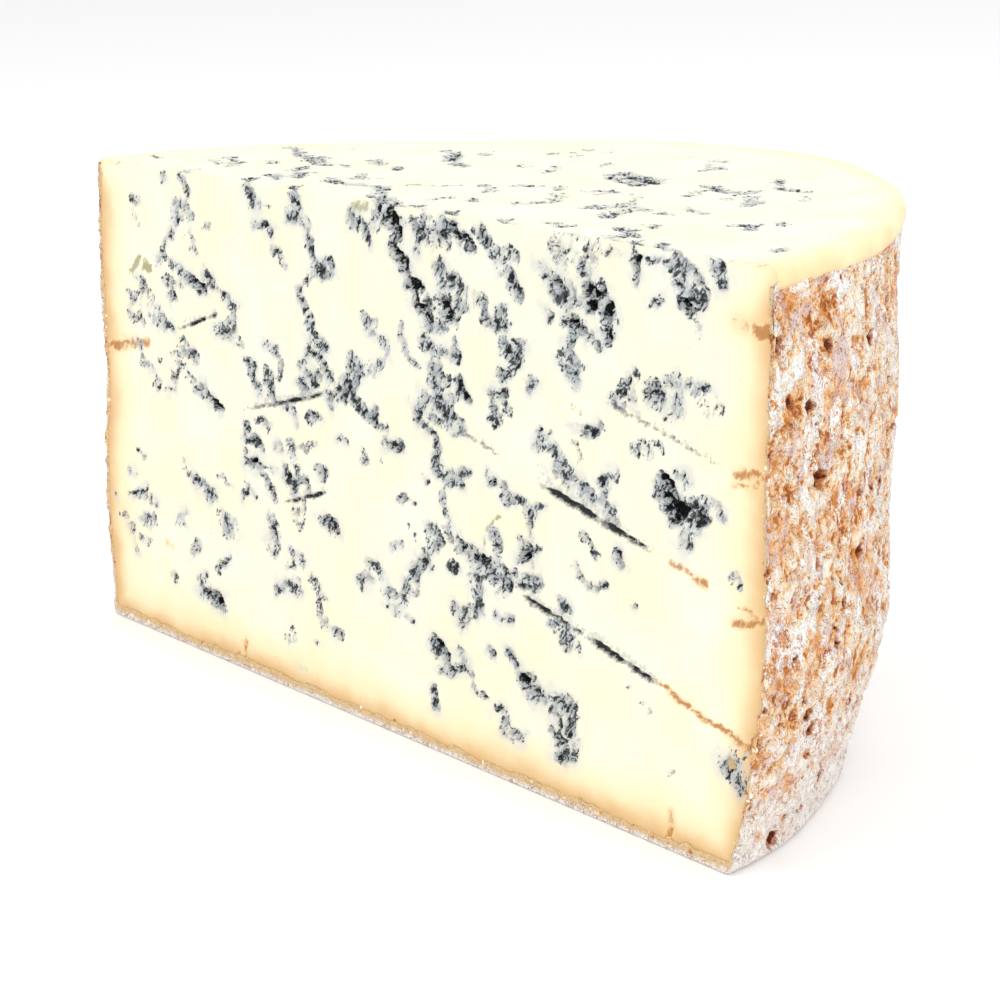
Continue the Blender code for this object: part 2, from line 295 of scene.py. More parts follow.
    (0.78, 1.9, (48, 69), (49.5, 67), (52.5, 66), (54, 64.5)), (0.5, 1.2, (44, 66), (47, 65.5)),
    (0.8, 1.5, (54, 63.5), (58, 63), (62, 61.5)),
    (0.85, 1.2, (58.5, 64), (59.5, 67), (60.5, 68.5), (62, 69)), (0.9, 1.1, (48, 41), (49.5, 40)),
    (0.65, 1.5, (46, 36), (49, 35.5), (51, 34), (49, 33)),
    # the big upper eye
    (0.93, 1.4, (44.5, 104.5), (46.5, 103), (49, 102.5)),
    (0.9, 1.5, (47, 101), (50, 100), (52, 100.5)), (0.98, 1.2, (50.5, 98), (53, 99.5), (57, 99.2)),
    (0.96, 1.1, (56, 102.8), (58.5, 102.5)), (0.7, 1.2, (54, 106), (56, 105), (57, 103.5)),
    (1.0, 2.1, (59, 101), (60.5, 99.5), (61, 98)),
    (0.98, 1.2, (61.5, 97), (61.5, 95), (59.5, 93.7)),
    (0.93, 1.3, (50, 96), (53, 95), (56, 94), (58, 92.7)),
    (0.9, 1.3, (51, 92), (50.5, 90), (52.5, 88)), (0.88, 1.0, (45, 97), (46, 95.5)),
    (0.8, 0.9, (48.5, 88), (51, 86), (53.5, 84.5)), (0.4, 3.2, (49, 108), (57, 108)),
    # right
    (0.8, 1.1, (62, 83), (64, 84), (65.5, 86.5), (67.5, 88.5)),
    (0.6, 1.1, (61.5, 83.3), (66.5, 83.5)),
    (0.75, 1.5, (72, 86), (74, 84.5), (77, 83.5), (77.5, 86), (76.5, 88.5)),
    (0.7, 1.2, (77, 89.5), (79, 88.3), (81, 88.8)), (0.8, 0.8, (82, 88.7), (84.5, 88.8)),
    (0.3, 1.6, (83, 86), (87, 85.7)), (0.5, 0.9, (60.5, 109), (63, 110)),
    (0.92, 1.2, (67.5, 109), (67.8, 107), (68, 106)),
    (0.9, 0.8, (70, 109), (74, 109.5), (76, 108.5)), (0.8, 1.1, (72, 102), (74.5, 102)),
    (0.9, 1.4, (78, 109), (80, 108.5), (82, 107)),
    (0.8, 1.8, (79, 106.5), (80, 104), (82.5, 104), (81.5, 102)),
    (0.93, 0.8, (78, 103), (81, 101.3)), (0.88, 1.5, (86.5, 109.5), (87.3, 107.5)),
    (0.6, 1.2, (82.3, 98.8), (83.3, 98.3)), (0.93, 0.9, (78, 72.5), (80, 72.3)),
    (0.95, 1.0, (74, 70.5), (75.5, 70), (76.5, 69)),
    (0.98, 1.9, (74, 67), (76, 66), (78.5, 66), (77, 64.5)),
    (0.85, 1.6, (80, 67), (83, 66.5), (82.5, 63), (80, 61.5), (79, 59.5)),
    (0.7, 0.9, (83, 68), (86, 68.5), (88, 67)), (0.45, 1.3, (68, 75.5), (70.5, 74.5), (73.5, 76)),
    (0.75, 1.0, (52, 75.5), (53.5, 75), (57.5, 76), (58.5, 77.5)),
    (0.4, 1.2, (52.5, 73), (53, 70.5)), (0.6, 1.1, (54, 56), (55.5, 54), (57, 52.7)),
    (0.97, 1.0, (63, 54.3), (63.5, 52.7)),
    (0.65, 1.1, (52, 49), (54, 46.5), (56, 46), (59.5, 47.5)),
    (0.5, 0.7, (65.5, 45.2), (66.5, 44.8)), (0.4, 0.9, (65, 29), (65.7, 28)),
    (0.3, 0.9, (68, 26.5), (71, 25.5)), (0.3, 0.8, (74.5, 15), (77, 16.5)),
    (0.45, 0.7, (90, 56), (91.5, 57), (92.5, 55.5), (91, 54.5)), (1.0, 1.6, (89.3, 21), (90, 20.4)),
    (0.7, 1.5, (91, 18.5), (92.3, 17.5)), (0.35, 2.2, (92, 22.5), (93, 20.5)),
]

# Channels of the piercing needles, cut lengthwise: straight, from inside the wheel outwards.
FRONT_NEEDLES = [
    (0.85, 0.75, (-57, 82), (-77.5, 74.5)), (0.85, 0.75, (-20, 70.3), (-55, 60.3)),
    (0.85, 0.8, (-21.5, 48.8), (-41, 42)), (0.5, 0.8, (20, 70), (36, 66)),
    (1.0, 1.2, (41.5, 64), (77, 55.6)), (0.9, 1.0, (36, 40.5), (58, 35.4)),
    (0.97, 1.2, (54, 36.5), (76, 31)), (0.5, 0.9, (60, 82.8), (76, 78.7)),
    (0.4, 0.8, (68, 80.9), (93, 74.5)),
]

# Orange, pink and brown stains where air came in: strength, half width, points.
FRONT_STAINS = [
    (0.75, 1.1, (-105, 68), (-98, 68.5), (-92, 70), (-86, 71)),
    (0.35, 1.2, (-100, 71), (-93, 71.5)), (0.5, 1.4, (-84.5, 22.8), (-82, 22.6)),
    (0.7, 1.0, (-55, 6.5), (-55.5, 3), (-57, 0.5)), (0.5, 0.9, (-58.5, 3.5), (-58, 0.5)),
    (0.75, 0.8, (76, 55.8), (84, 53.7)), (0.9, 0.8, (72, 32), (80, 29.7), (92, 26)),
    (0.8, 1.3, (92, 26), (98, 25)), (0.8, 1.0, (91, 74.7), (95, 75.5), (99, 74.8)),
    (0.6, 0.8, (90, 72.6), (97, 73.8)), (1.0, 1.3, (96, 100.6), (100, 100.2)),
    (0.5, 2.2, (92, 101), (96, 101)), (0.8, 1.0, (91, 48.3), (95, 49), (99, 50.5)),
    (0.6, 0.8, (92, 51), (97, 50.5)), (0.7, 1.0, (75.5, 7.5), (75.8, 4), (75.3, 0.5)),
    (0.45, 2.6, (93, 24), (96, 22)), (0.35, 3.0, (-102, 28), (-98, 22)),
]

# Olive patches of young mould.
FRONT_OLIVE = [
    (0.9, 1.1, (-89.5, 87.5), (-87.5, 89.3)), (0.8, 1.1, (-84.5, 88.5), (-82.5, 88)),
    (0.6, 1.3, (-9, 110), (-5, 110.5)),
    (0.8, 0.5, (26.5, 48), (27.5, 50.5), (29.5, 52.5), (32, 53.5)),
    (0.6, 0.5, (51.5, 80.2), (54, 80)), (0.4, 0.7, (-76, 45.3), (-73.5, 45.3)),
    (0.6, 0.4, (76, 109), (77, 106.5)),
]

# The same on the level cut: X and Y. It shows the mould more faintly.
TOP_SHARE = 0.85
TOP_VEINS = [
    (0.7, 1.2, (-84, 42), (-76, 38), (-70, 34)),
    (0.8, 2.0, (-68, 34), (-60, 31), (-54, 26.5), (-50, 25.5)), (0.5, 1.1, (-62, 36), (-56, 31)),
    (0.8, 1.6, (-48, 60), (-42, 57), (-36, 51), (-30, 46), (-24, 44)),
    (0.6, 1.9, (-38, 62), (-34, 58)), (0.5, 2.2, (-48, 38), (-44, 36), (-41, 35)),
    (0.7, 1.2, (-35, 34), (-32, 31)), (0.6, 1.3, (-65, 23), (-60, 20)),
    (0.6, 1.6, (-77, 20), (-68, 16), (-65, 11)), (0.5, 1.5, (-76, 15), (-70, 12)),
    (0.6, 1.1, (-93, 11), (-89, 9)), (0.75, 1.8, (-51, 21), (-47, 17), (-40, 11)),
    (0.6, 1.8, (-46, 9), (-40, 6)), (0.6, 1.1, (-47, 29), (-44, 27)),
    (0.5, 1.2, (-35, 23), (-30, 20)), (0.6, 1.5, (-29, 17), (-25, 19)),
    (0.85, 1.5, (-33, 14), (-27, 11), (-20, 12), (-15, 13), (-10, 8), (-6, 5)),
    (1.0, 2.0, (-5, 4.5), (-1, 2), (3, -1)), (0.65, 1.4, (-12, 19), (-6, 21), (-4, 24)),
    (0.5, 1.2, (-23, 79), (-19, 77)), (0.5, 1.2, (-16, 79), (-12, 75)),
    (0.5, 1.3, (-25, 70), (-21, 68)), (0.45, 1.2, (-21, 73), (-16, 70), (-12, 66)),
    (0.5, 1.5, (-1, 64), (1, 59)), (0.6, 1.3, (-15, 53), (-12, 50)),
    (0.6, 1.2, (-7, 54), (-3, 50), (-1, 46)), (0.85, 2.4, (12, 55), (17, 53), (23, 52), (25, 48)),
    (0.8, 1.9, (12, 50), (18, 48), (22, 50)), (0.6, 1.6, (14, 81), (18, 80)),
    (0.5, 1.5, (17, 76), (20, 74), (24, 72), (22, 68)), (0.5, 1.1, (3, 84), (7, 81)),
    (0.75, 1.2, (43, 68), (46, 64), (49, 61)), (0.85, 1.7, (50, 61), (55, 60)),
    (0.85, 1.6, (37, 54), (41, 52), (45, 50), (48, 51), (47, 55)), (0.5, 1.1, (47, 48), (51, 44)),
    (0.85, 1.7, (53, 48), (57, 44), (58, 41)), (0.45, 1.6, (40, 49), (42, 42)),
    (0.65, 1.6, (22, 35), (26, 38), (28, 36), (27, 33)), (0.55, 1.4, (32, 37), (36, 35), (39, 30)),
    (0.5, 1.4, (6, 31), (10, 33)), (0.5, 1.2, (14, 35), (16, 32)),
    (0.65, 1.5, (0, 26), (4, 25), (7, 22)), (0.5, 1.8, (20, 28), (24, 25), (27, 20), (22, 15)),
    (0.7, 2.4, (37, 22), (40, 27), (43, 22), (45, 17)), (0.75, 1.2, (43, 28), (47, 25)),
    (0.85, 1.3, (52, 32), (54, 30), (57, 30)), (0.5, 1.2, (51, 25), (55, 24)),
    (0.5, 1.2, (74, 32), (77, 29)), (0.75, 1.4, (70, 23), (73, 26), (75, 22)),
    (0.5, 1.3, (57, 13), (60, 15), (61, 12)), (0.55, 1.0, (91, 13), (92, 9)),
    (0.6, 1.2, (5, 9), (7, 13)), (0.75, 1.2, (12, 14), (14, 12)),
    (0.75, 1.8, (42, 5), (45, 5), (47, 4)), (0.85, 1.4, (57, 9), (61, 6), (64, 4)),
    (0.85, 1.1, (9, 2), (11, 0)), (0.85, 1.2, (18, 2.5), (20, 0)), (0.85, 1.2, (33, 2), (36, 0)),
    (0.85, 1.2, (60, 2), (63, 0)), (0.88, 1.2, (67, 2), (69, 0)), (0.88, 1.2, (72, 2), (76, 0)),
    (0.7, 1.1, (-67, 4), (-66, 0)), (0.85, 1.2, (-46, 3), (-44, 0)), (0.7, 1.2, (-30, 3), (-28, 0)),
    (0.4, 1.5, (-70, 50), (-66, 47)), (0.4, 1.5, (60, 55), (63, 52)),
]


def reach_of(points, veins, width_noise, least=0.0):
    """How far into a vein each point lies: 1 on its middle line times its strength, 0 outside."""
    total = np.zeros(len(points))
    for strength, half_width, *line in veins:
        if strength < least:
            continue
        line = np.array(line, float)
        spread = 2.4 * half_width
        low = line.min(0) - spread
        high = line.max(0) + spread
        near = np.nonzero(np.all((points > low) & (points < high), axis=1))[0]
        if len(near) == 0:
            continue
        p = points[near]
        best = np.full(len(near), 1e9)
        for a, b in zip(line[:-1], line[1:]):
            along = b - a
            t = np.clip(((p - a) @ along) / max(along @ along, 1e-9), 0.0, 1.0)
            best = np.minimum(best, np.hypot(*(p - a - t[:, None] * along).T))
        width = half_width * (0.45 + 0.9 * width_noise[near])
        found = strength * np.clip(1.0 - best / (1.9 * width), 0.0, 1.0)
        total[near] = np.maximum(total[near], found)
    return total


def needle_reach(points, needles):
    """The dark core of each needle channel, and the strip of crumbs along its upper side."""
    core = np.zeros(len(points))
    crumbs = np.zeros(len(points))
    for strength, half_width, start, end in needles:
        start = np.array(start)
        line = np.array(end) - start
        length = np.hypot(*line)
        line = line / length
        across_line = np.array([-line[1], line[0]]) * (1.0 if line[0] > 0.0 else -1.0)
        p = points - start
        share = (p @ line) / length
        across = p @ across_line
        inside = smooth(share, -0.03, 0.12) * (1.0 - smooth(share, 0.55, 1.02))
        uneven = 0.85 + 0.4 * np.sin(9.0 * share + start[0]) * np.sin(23.0 * share)
        width = half_width * (0.35 + 0.55 * inside)
        wedge = np.clip(1.0 - np.abs(across + 0.3 * width) / (1.1 * width), 0.0, 1.0)
        found = strength * inside * uneven * wedge
        core = np.maximum(core, found)
        strip = strength * inside * bell(across, 1.1 * width, 0.5 * width)
        crumbs = np.maximum(crumbs, strip)
    return core, crumbs


def vein_fields(flat, veins, needles, stains, olive, seed):
    """The shares of mould and so on at points of a cut face, in millimetres."""
    p3 = np.column_stack([flat, np.zeros(len(flat))])
    push_x = fractal(p3, 2.4, seed, 3, 0.6) - 0.5
    push_z = fractal(p3, 2.4, seed + 10, 3, 0.6) - 0.5
    push = np.column_stack([push_x, push_z])
    ragged = flat + 3.4 * push
    width = fractal(p3, 3.5, seed + 20, 2)
    broken = 0.45 + 0.75 * smooth(fractal(p3, 2.6, seed + 40, 2, 0.6), 0.30, 0.62)
    core, crumbs = needle_reach(flat + 0.5 * push, needles)
    mould = reach_of(ragged, veins, width) * broken
    crevice = reach_of(ragged, veins, width * 0.5, DEEP) * broken
    wide = [(s, 1.4 * w + 0.9, *line_points) for s, w, *line_points in veins]
    halo = reach_of(flat + 2.4 * push, wide, 0.3 + 0.6 * width)
    stain = reach_of(flat + 2.4 * push, stains, width)
    green = reach_of(ragged, olive, width)
    return {
        "mould": mould, "crevice": crevice, "halo": halo, "slit": core, "crumbs": crumbs,
        "stain": stain, "olive": green,
    }


# ---------------------------------------------------------------- meshes

class Surface:
    """Points and faces of one closed mesh, built from rows of points."""

    def __init__(self):
        self.blocks = []
        self.faces = []
        self.count = 0

    def row(self, points):
        ids = np.arange(self.count, self.count + len(points))
        self.blocks.append(np.asarray(points, float))
        self.count += len(points)
        return ids

    def grid(self, points):
        """points has a shape of rows, columns, 3."""
        rows, columns, _ = points.shape
        return self.row(points.reshape(-1, 3)).reshape(rows, columns)

    def join(self, a, b):
        """A band of quads between two rows of the same length."""
        quads = np.column_stack([a[:-1], a[1:], b[1:], b[:-1]])
        self.faces.extend(quads.tolist())

    def join_grid(self, ids):
        for a, b in zip(ids[:-1], ids[1:]):
            self.join(a, b)

    def zip(self, a, b):
        """Triangles between two lines of points that both run downwards."""
        height = self.points()[:, 2]
        i = 0
        j = 0
        while i < len(a) - 1 or j < len(b) - 1:
            step_a = j == len(b) - 1 or (i < len(a) - 1 and height[a[i + 1]] >= height[b[j + 1]])
            if step_a:
                self.faces.append([a[i], a[i + 1], b[j]])
                i += 1
            else:
                self.faces.append([a[i], b[j + 1], b[j]])
                j += 1

    def points(self):
        return np.concatenate(self.blocks)


def add_field(mesh, name, values):
    field = mesh.attributes.new(name, "FLOAT", "POINT")
    field.data.foreach_set("value", values.astype(np.float32))


def make_piece(name, points, faces, fields):
    """A closed mesh from points in millimetres on the wheel's axis, with its fields as attributes."""
    mesh = bpy.data.meshes.new(name)
    mesh.from_pydata(((points + AXIS) * MM).tolist(), [], faces)
    for field, values in fields.items():
        add_field(mesh, field, values)
    bm = bmesh.new()
    bm.from_mesh(mesh)
    bmesh.ops.remove_doubles(bm, verts=bm.verts, dist=MERGE_GAP)
    bmesh.ops.recalc_face_normals(bm, faces=bm.faces)
    bm.to_mesh(mesh)
    bm.free()
    mesh.shade_smooth()
    mesh.set_sharp_from_angle(angle=math.radians(SHARP_ANGLE))
    piece = bpy.data.objects.new(name, mesh)
    bpy.context.scene.collection.objects.link(piece)
    return piece


# Where the wheel's axis lies in the frame, in millimetres: the outline is centred on X.
TURNS = np.linspace(0.0, math.pi, 721)
LEVELS = np.linspace(0.0, HEIGHT, 113)
WIDEST = np.array([[outer_radius(t, z) * math.cos(t) for t in TURNS] for z in LEVELS])
AXIS = np.array([-0.5 * (WIDEST.max() + WIDEST.min()), LOW.y / MM, LOW.z / MM])


PASTE_COLUMNS = 380
PASTE_FRONT_ROWS = 160
PASTE_TOP_ROWS = 82
END_TURN = math.radians(0.9)


def cover(z):
    """How far the paste stands back under the rind on the upright cut: nothing at the bare rim."""
    return 1.2 * smooth(HEIGHT - z, RIM_HEIGHT - 0.4, RIM_HEIGHT + 1.8)


def rim_inset(drop):
    """How far the rounded rim stands back, by the depth below the level cut."""
    share = np.clip(1.0 - drop / RIM_ROUND, 0.0, 1.0)
    return RIM_ROUND * (1.0 - np.sqrt(1.0 - share ** 2))


def ring_at(turn, radius, level):
    level = level + 0.0 * turn
    return np.stack([radius * np.cos(turn), radius * np.sin(turn), level], -1)


def paste_mesh():
    u = np.linspace(-1.0, 1.0, PASTE_COLUMNS + 1)
    turn = END_TURN + 0.5 * (1.0 - u) * (math.pi - 2.0 * END_TURN)
    surface = Surface()

    # Upright cut, from the base to the top.
    z_front = np.linspace(1.2, HEIGHT, PASTE_FRONT_ROWS + 1)
    z = z_front[:, None] + 0.0 * u
    back = cover(z) + rim_inset(HEIGHT - z)
    right = outer_radius(np.zeros_like(z), z) - back
    left = -outer_radius(np.full_like(z, math.pi), z) + back
    x = left + 0.5 * (u + 1.0) * (right - left)
    front = np.stack([x, np.full_like(x, CUT_INSET), z], -1)

    # Level cut, from the front edge to the rim.
    w = np.linspace(0.0, 1.0, PASTE_TOP_ROWS + 1)[1:, None]
    rim = outer_radius(turn, np.full_like(turn, HEIGHT)) - RIM_ROUND
    rim_x = rim * np.cos(turn)
    rim_y = rim * np.sin(turn)
    top_x = front[-1, :, 0] + w * (rim_x - front[-1, :, 0])
    top_y = CUT_INSET + w * (rim_y - CUT_INSET)
    sink = top_sink(np.arctan2(top_y, top_x), np.hypot(top_x, top_y))
    top = np.stack([top_x, top_y, HEIGHT - sink], -1)

    # Rounded rim, the bare band under it, and the hidden back and base.
    back_rows = []
    rim_sink = top_sink(turn, rim)
    for drop in (0.15, 0.5, 1.0, 1.6, RIM_ROUND, 2.8, 3.5, 4.2, 5.0, 7.0, 12.0, 40.0, 75.0, HEIGHT - 1.6):
        level = HEIGHT - drop - rim_sink * (drop < 10.0)
        radius = outer_radius(turn, level) - rim_inset(drop)
        hidden = smooth(drop, RIM_HEIGHT + 1.0, RIM_HEIGHT + 5.0)
        ring = ring_at(turn, radius - PASTE_BACK * hidden, level)
        ring[:, 1] = np.maximum(ring[:, 1], PASTE_BACK * hidden)
        back_rows.append(ring)
    last = back_rows[-1].copy()
    back_rows.append(np.stack([last[:, 0], 0.5 * last[:, 1], np.full_like(turn, 1.2)], -1))
    whole = np.concatenate([front, top, np.stack(back_rows)])
    ids = surface.grid(whole)
    surface.join_grid(ids)
    surface.join(ids[-1], ids[0])
    for column in (0, -1):
        surface.zip(ids[PASTE_FRONT_ROWS::-1, column].tolist(), ids[PASTE_FRONT_ROWS + 1:, column].tolist())
    rows = np.repeat(np.arange(len(whole)), len(u))
    return surface, rows


def side_distance(points):
    """Millimetres from a point to the outer side of the wheel."""
    turn = np.arctan2(np.maximum(points[:, 1], 0.0), points[:, 0])
    return outer_radius(turn, points[:, 2]) - np.hypot(points[:, 0], points[:, 1])


def rind_distance(points):
    """Millimetres from a point of the paste to the nearest rind, with the bare rim left pale."""
    side = side_distance(points)
    bare = 5.0 * smooth(points[:, 2], HEIGHT - 9.0, HEIGHT - 1.5)
    return np.minimum(np.maximum(side, 0.0) + bare, np.maximum(points[:, 2], 0.0))


def build_paste():
    surface, rows = paste_mesh()
    points = surface.points()
    on_front = rows <= PASTE_FRONT_ROWS
    on_top = (rows >= PASTE_FRONT_ROWS) & (rows <= PASTE_FRONT_ROWS + PASTE_TOP_ROWS)

    names = ("mould", "crevice", "halo", "slit", "crumbs", "stain", "olive")
    fields = {name: np.zeros(len(points)) for name in names}
    front = vein_fields(points[on_front][:, [0, 2]], FRONT_VEINS, FRONT_NEEDLES,
                        FRONT_STAINS, FRONT_OLIVE, 11)
    top = vein_fields(points[on_top][:, [0, 1]], TOP_VEINS, [], [], [], 51)
    for name in fields:
        fields[name][on_front] = front[name]
        fields[name][on_top] = np.maximum(fields[name][on_top], TOP_SHARE * top[name])
    fields["near_rind"] = rind_distance(points)

    # Relief of the cut faces, as a depth below the knife's plane.
    crumb = fractal(points, 1.3, 71, 2, 0.6)
    grain = fractal(points, 0.8, 75, 2, 0.6)
    waves = fractal(points, 14.0, 81, 2)
    deep = smooth(fields["crevice"], 0.2, 0.85)
    depth = 0.25 * waves + 0.10 * grain
    depth += smooth(fields["mould"], 0.12, 0.6) * (0.05 + 1.1 * smooth(crumb, 0.35, 0.7))
    depth += deep * (0.9 + 1.6 * crumb)
    depth += 0.9 * smooth(fields["slit"], 0.2, 0.8) - 0.2 * fields["crumbs"] * crumb
    depth += 0.5 * smooth(fields["stain"], 0.3, 0.8) * crumb
    edge = np.minimum(HEIGHT - points[:, 2] + np.maximum(points[:, 1] - CUT_INSET, 0.0), 50.0)
    chip = smooth(fractal(points, 3.0, 91, 3, 0.6), 0.48, 0.75) * np.exp(-(edge / 0.9) ** 2)
    depth += 0.9 * chip + 0.25 * np.exp(-(edge / 0.35) ** 2)
    depth *= 0.25 + 0.75 * smooth(side_distance(points), 1.5, 5.0)
    step = np.zeros_like(points)
    both = on_front & on_top
    step[on_front, 1] = depth[on_front]
    step[on_top, 2] = -depth[on_top]
    step[both] *= 0.7
    points = points + step

    return make_piece("cheese_paste", points, surface.faces, fields)


RIND_COLUMNS = 500
RIND_ROWS = 160
RIND_BASE_ROWS = 8
PITS = 420


def scatter_pits():
    """Centres (turn times radius, height), radii and depths of the holes in the rind."""
    rng = np.random.default_rng(5)
    along = rng.uniform(0.0, math.pi * RADIUS, PITS)
    height = rng.uniform(3.0, HEIGHT - 5.0, PITS)
    size = 0.45 + 1.5 * rng.random(PITS) ** 3
    return np.column_stack([along, height]), size, 0.5 + 1.0 * size * rng.random(PITS)


# Holes and stains of the rind next to the upright cut: turn in degrees, height, radius, depth.
NEAR_PITS = [
    (9.3, 72.0, 1.7, 2.6), (1.0, 98.5, 1.5, 2.0), (10.0, 94.5, 1.1, 1.6), (18.0, 100.5, 1.5, 1.4),
    (8.6, 56.5, 0.9, 1.5), (9.2, 82.5, 0.7, 1.2), (29.0, 97.0, 1.4, 1.2), (10.3, 24.5, 1.0, 1.3),
    (7.5, 32.0, 0.8, 1.1), (9.0, 48.5, 0.8, 1.2), (0.4, 26.0, 1.4, 1.6), (5.0, 41.0, 1.0, 0.9),
]


def pit_field(along, height):
    """Share of a pit (0 to 1) and its depth at points of the rind."""
    places, sizes, depths = scatter_pits()
    near = np.array(NEAR_PITS)
    places = np.concatenate([places, np.column_stack([np.radians(near[:, 0]) * RADIUS, near[:, 1]])])
    sizes = np.concatenate([sizes, near[:, 2]])
    depths = np.concatenate([depths, near[:, 3]])
    share = np.zeros(len(along))
    depth = np.zeros(len(along))
    for place, size, deep in zip(places, sizes, depths):
        beside = np.abs(along - place[0]) < 2.5 * size
        level = np.abs(height - place[1]) < 3.0 * size
        close = np.nonzero(beside & level)[0]
        d = np.hypot((along[close] - place[0]) / size, (height[close] - place[1]) / (1.3 * size))
        f = 1.0 - smooth(d, 0.35, 1.25)
        share[close] = np.maximum(share[close], f)
        depth[close] = np.maximum(depth[close], deep * f)
    return share, depth


def rind_relief(p, along, below_start):
    """Depth of the crust at points of the side, the share of a pit and a crust field for its colours."""
    warp = 2.6 * (fractal(p, 2.0, 221, 2) - 0.5)
    share, pit_depth = pit_field(along + warp, p[:, 2] + 2.6 * (fractal(p, 2.0, 231, 2) - 0.5))
    crust = smooth(fractal(p, 2.6, 201, 3, 0.65), 0.28, 0.72)
    lumps = fractal(p, 9.0, 211, 2)
    cracks = 1.0 - smooth(np.abs(fractal(p, 5.0, 241, 3, 0.55) - 0.5), 0.004, 0.035)
    fade = smooth(p[:, 2], 0.0, 4.0) * smooth(below_start, 0.0, 3.5)
    depth = 0.12 + ((0.95 - 0.95 * crust) + 0.55 * lumps + 0.35 * cracks + pit_depth) * (0.12 + 0.88 * fade)
    return depth, share * (0.2 + 0.8 * fade), crust


def build_rind():
    surface = Surface()
    turn = np.linspace(0.0, math.pi, RIND_COLUMNS + 1)
    flat_turn = np.column_stack([turn * RADIUS, 0 * turn, 0 * turn])
    sink = top_sink(turn, RADIUS)
    ragged = smooth(fractal(flat_turn, 4.0, 301, 3, 0.65), 0.25, 0.75)
    start = HEIGHT - sink - RIM_HEIGHT + 2.0 - 3.6 * ragged

    # Side, from the ragged start down to the base edge, which is rounded.
    v = np.linspace(0.0, 1.0, RIND_ROWS + 1)[:, None]
    level = start + v * (EDGE_ROUND - start)
    turns = turn + 0.0 * level
    radius = outer_radius(turns, level) - rim_inset(HEIGHT - sink - level)
    side = [ring_at(turn, radius[row], level[row]) for row in range(RIND_ROWS + 1)]
    foot = outer_radius(turn, np.zeros_like(turn))
    for a in (0.25 * math.pi, 0.5 * math.pi):
        side.append(ring_at(turn, foot - EDGE_ROUND * (1.0 - math.cos(a)), EDGE_ROUND * (1.0 - math.sin(a))))
    side = np.stack(side)

    p = side.reshape(-1, 3)
    along = np.tile(turn * RADIUS, len(side))
    depth, share, crust = rind_relief(p, along, np.tile(start, len(side)) - p[:, 2])
    inward = -p.copy()
    inward[:, 2] = 0.0
    inward /= np.linalg.norm(inward, axis=1)[:, None]
    p = p + inward * depth[:, None]
    side = p.reshape(side.shape)
    side[:, 0, 1] = 0.0
    side[:, -1, 1] = 0.0

    ids = surface.grid(side)
    surface.join_grid(ids)
    fields = {"pit": [share], "crust": [crust], "inner": [np.zeros(len(p))]}

    def note(count, pit, crust_here, inner):
        """Field values of a row or grid of points that was added."""
        for name, value in (("pit", pit), ("crust", crust_here), ("inner", inner)):
            fields[name].append(value + np.zeros(count))

    # Base, from the edge to the foot of the upright cut.
    w = np.linspace(0.0, 1.0, RIND_BASE_ROWS + 1)[1:, None]
    edge = side[-1]
    base = np.stack([edge[:, 0] + 0.0 * w, edge[:, 1] * (1.0 - w), 0.0 * w + 0.0 * edge[:, 0]], -1)
    base_ids = surface.grid(base)
    surface.join(ids[-1], base_ids[0])
    surface.join_grid(base_ids)
    note(base.shape[0] * base.shape[1], 0.0, 0.6, 0.0)

    # The edge that the upright cut shows: right side up, base, left side.
    outer_ids = np.concatenate([ids[:, 0], base_ids[-1][1:-1], ids[:, -1][::-1]])
    outer = surface.points()[outer_ids]
    places = np.column_stack([outer[:, 0], 0 * outer[:, 0], outer[:, 2]])
    at_rim = smooth(HEIGHT - outer[:, 2], RIM_HEIGHT - 1.0, RIM_HEIGHT + 2.0)
    thick_side = RIND_SIDE * (0.75 + 0.5 * fractal(places, 3.0, 251, 3, 0.6)) * (0.35 + 0.65 * at_rim)
    thick_base = RIND_BASE * (0.55 + 0.9 * fractal(places, 4.0, 261, 3, 0.6))
    inset = rim_inset(HEIGHT - outer[:, 2]) + thick_side
    right = outer_radius(np.zeros(len(outer)), outer[:, 2]) - inset
    left = -outer_radius(np.full(len(outer), math.pi), outer[:, 2]) + inset
    inner = outer.copy()
    inner[:, 0] = np.clip(outer[:, 0], left, right)
    inner[:, 2] = np.maximum(outer[:, 2], thick_base)
    previous = outer_ids
    rings = []
    crumble = fractal(places, 1.6, 271, 2, 0.6)
    for step, out, rough in ((0.15, 0.0, 0.25), (0.35, 0.05, 0.5), (0.6, 0.1, 0.4), (0.85, 0.15, 0.2),
                             (1.0, 0.25, 0.1), (1.02, 1.6, 0.0)):
        ring = outer + min(step, 1.0) * (inner - outer)
        ring[:, 1] = out + rough * crumble
        now = surface.row(ring)
        surface.join(previous, now)
        previous = now
        rings.append(now)
        note(len(ring), 0.25 * (1.0 - step) * (crumble > 0.5), 0.3 + 0.5 * crumble, min(step, 1.0))
    strip_end = previous

    # Hidden inner skin: one band behind the side and one over the base.
    hidden = ring_at(turn, 0.965 * radius[0], start - 1.5)
    hidden[:, 1] = np.maximum(hidden[:, 1], 1.6)
    ring_top = surface.row(hidden)
    surface.join(ids[0], ring_top)
    hidden = ring_at(turn, 0.92 * foot, 4.5)
    hidden[:, 1] = np.maximum(hidden[:, 1], 1.6)
    ring_low = surface.row(hidden)
    surface.join(ring_top, ring_low)
    count = len(ids)
    surface.join(ring_low, strip_end[count - 1: count + len(turn) - 1])
    first = [ring[0] for ring in rings[:-1]]
    last = [ring[-1] for ring in rings[:-1]]
    strip_first = strip_end[:count][::-1].tolist()
    strip_last = strip_end[-count:][::-1].tolist()
    surface.faces.append([ids[0][0], ring_top[0], ring_low[0]] + strip_first + first[::-1])
    surface.faces.append([ids[0][-1]] + last + strip_last + [ring_low[-1], ring_top[-1]])
    note(2 * len(turn), 0.0, 0.5, 1.0)

